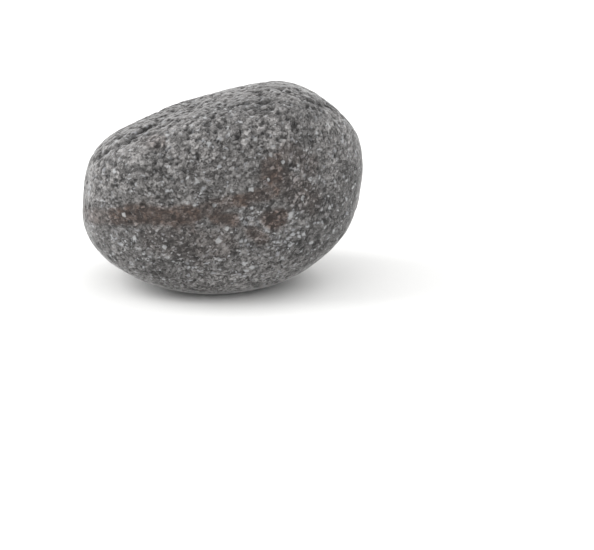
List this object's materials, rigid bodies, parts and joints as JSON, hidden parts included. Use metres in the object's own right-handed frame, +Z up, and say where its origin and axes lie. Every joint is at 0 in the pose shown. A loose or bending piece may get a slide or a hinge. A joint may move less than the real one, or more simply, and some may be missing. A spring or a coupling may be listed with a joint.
{
  "type": "river pebble",
  "caption": "Smooth oval water-worn stone of grey porous lava, fatter at its higher end, with short layer ledges and small pits, resting on its flat underside.",
  "frame": {"origin": "on the plane that the stone rests on, under the middle of its bounding box", "axes": "+X along the stone, towards its fatter and higher end; -Y out of its front; +Z up"},
  "size_m": [0.1122, 0.0892, 0.0773],
  "materials": {
    "worn_grey_lava": "matt, water-worn, finely pitted"
  },
  "bodies": {
    "root": {"pebble": "worn_grey_lava"}
  },
  "joints": []
}
